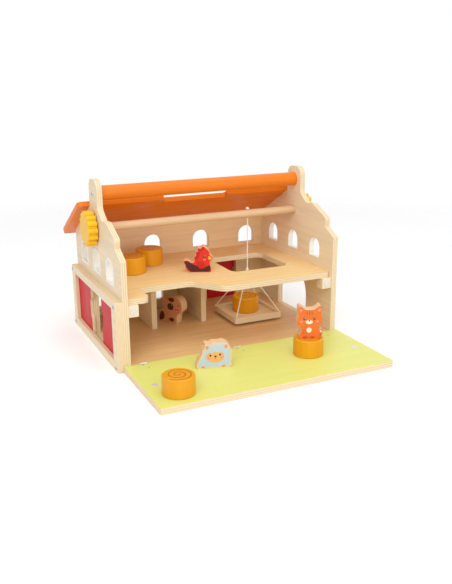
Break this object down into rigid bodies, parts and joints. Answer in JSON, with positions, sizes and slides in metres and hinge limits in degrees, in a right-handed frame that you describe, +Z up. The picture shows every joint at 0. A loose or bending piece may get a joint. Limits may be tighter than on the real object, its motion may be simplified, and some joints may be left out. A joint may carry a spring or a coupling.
{
  "type": "toy farm",
  "caption": "Wooden toy farm with stepped gables, a loft with trap hole and winch hoist, sliding doors, a carrying rod and a front wall that folds down as a meadow.",
  "frame": {"origin": "middle of the base board's underside, halfway between the gables and between front and back", "axes": "+X along the house to the right seen from the open front, +Y to the back wall, +Z up"},
  "size_m": [0.352, 0.3779, 0.236],
  "materials": {
    "birch_ply": "satin clear lacquer",
    "beech_rod": "satin clear lacquer",
    "orange_paint": "satin paint",
    "red_paint": "satin paint",
    "yellow_paint": "satin paint",
    "green_sheet": "satin print",
    "white_paint": "matte paint",
    "steel": "plated",
    "cotton_line": "twisted line",
    "bale_paint": "satin paint",
    "hen_paint": "printed wood",
    "calf_paint": "printed wood",
    "sheep_paint": "printed wood",
    "cat_paint": "printed wood"
  },
  "bodies": {
    "house": {"base_board": "birch_ply", "left_gable": "birch_ply", "right_gable": "birch_ply", "back_wall": "birch_ply", "loft_floor": "birch_ply", "stall_divider_left": "birch_ply", "stall_divider_right": "birch_ply", "roof_board": "orange_paint", "roof_screws": "steel", "carry_rod": "orange_paint", "rod_screws": "steel", "left_window_trims": "white_paint", "right_window_trims": "white_paint", "magnet_block_left": "birch_ply", "magnet_block_right": "birch_ply", "block_magnets": "steel", "hinge_base_leaves": "steel", "hinge_pins": "steel", "side_door_channel": "birch_ply", "side_door_frame": "birch_ply", "side_frame_screws": "steel", "back_door_channel": "birch_ply", "back_door_frame": "birch_ply", "back_frame_screws": "steel"},
    "meadow_wall": {"front_wall": "birch_ply", "meadow_sheet": "green_sheet", "keeper_discs": "steel", "hinge_nails": "steel", "hinge_wall_leaves": "steel"},
    "door_rear": {"rear_side_door": "red_paint"},
    "door_front": {"front_side_door": "red_paint"},
    "door_back": {"back_door": "red_paint"},
    "winch": {"winch_axle": "beech_rod", "left_knob": "yellow_paint", "right_knob": "yellow_paint", "axle_knot": "cotton_line"},
    "tray": {"tray_board": "birch_ply", "tray_rim": "birch_ply", "bridle_strings": "cotton_line", "line_knot": "cotton_line", "hoist_line": "cotton_line"},
    "toy_tray_bale": {"tray_bale": "bale_paint"},
    "toy_loft_bale_left": {"loft_bale_left": "bale_paint"},
    "toy_loft_bale_right": {"loft_bale_right": "bale_paint"},
    "toy_hen": {"hen": "hen_paint"},
    "toy_calf": {"calf": "calf_paint"},
    "toy_sheep": {"sheep": "sheep_paint"},
    "toy_meadow_bale": {"meadow_bale": "bale_paint"},
    "toy_cat_bale": {"cat_bale": "bale_paint"},
    "toy_cat": {"cat": "cat_paint"}
  },
  "joints": [
    {"name": "wall_fold", "type": "hinge", "parent": "house", "child": "meadow_wall", "pos_m": [0, -0.11225, 0.009], "axis": [-1, 0, 0], "range_deg": [0, 90]},
    {"name": "rear_door_slide", "type": "slide", "parent": "house", "child": "door_rear", "axis": [0, -1, 0], "range_m": [-0.0015, 0.0266]},
    {"name": "front_door_slide", "type": "slide", "parent": "house", "child": "door_front", "axis": [0, 1, 0], "range_m": [-0.0015, 0.0266]},
    {"name": "back_door_slide", "type": "slide", "parent": "house", "child": "door_back", "axis": [-1, 0, 0], "range_m": [0, 0.05]},
    {"name": "winch_turn", "type": "hinge", "parent": "house", "child": "winch", "pos_m": [0, 0, 0.17], "axis": [-1, 0, 0], "range_deg": [0, 620]},
    {"name": "tray_lift", "type": "slide", "parent": "house", "child": "tray", "axis": [0, 0, 1], "range_m": [0, 0.074], "deforming": ["hoist_line"]},
    {"name": "tray_bale_lift", "type": "slide", "parent": "tray", "child": "toy_tray_bale", "axis": [0, 0, 1], "range_m": [0, 0.012]},
    {"name": "loft_bale_left_lift", "type": "slide", "parent": "house", "child": "toy_loft_bale_left", "axis": [0, 0, 1], "range_m": [0, 0.035]},
    {"name": "loft_bale_right_lift", "type": "slide", "parent": "house", "child": "toy_loft_bale_right", "axis": [0, 0, 1], "range_m": [0, 0.035]},
    {"name": "hen_lift", "type": "slide", "parent": "house", "child": "toy_hen", "axis": [0, 0, 1], "range_m": [0, 0.025]},
    {"name": "calf_lift", "type": "slide", "parent": "house", "child": "toy_calf", "axis": [0, 0, 1], "range_m": [0, 0.03]},
    {"name": "sheep_lift", "type": "slide", "parent": "house", "child": "toy_sheep", "axis": [0, 0, 1], "range_m": [0, 0.2205]},
    {"name": "meadow_bale_lift", "type": "slide", "parent": "house", "child": "toy_meadow_bale", "axis": [0, 0, 1], "range_m": [0, 0.2205]},
    {"name": "cat_bale_lift", "type": "slide", "parent": "house", "child": "toy_cat_bale", "axis": [0, 0, 1], "range_m": [0, 0.2205]},
    {"name": "cat_lift", "type": "slide", "parent": "toy_cat_bale", "child": "toy_cat", "axis": [0, 0, 1], "range_m": [0, 0.05]}
  ],
  "couplings": [
    {"joint": "tray_lift", "follows": "winch_turn", "m_per_rad": 0.0068},
    {"joint": "sheep_lift", "follows": "wall_fold", "m_per_rad": 0.14},
    {"joint": "meadow_bale_lift", "follows": "wall_fold", "m_per_rad": 0.14},
    {"joint": "cat_bale_lift", "follows": "wall_fold", "m_per_rad": 0.14}
  ]
}
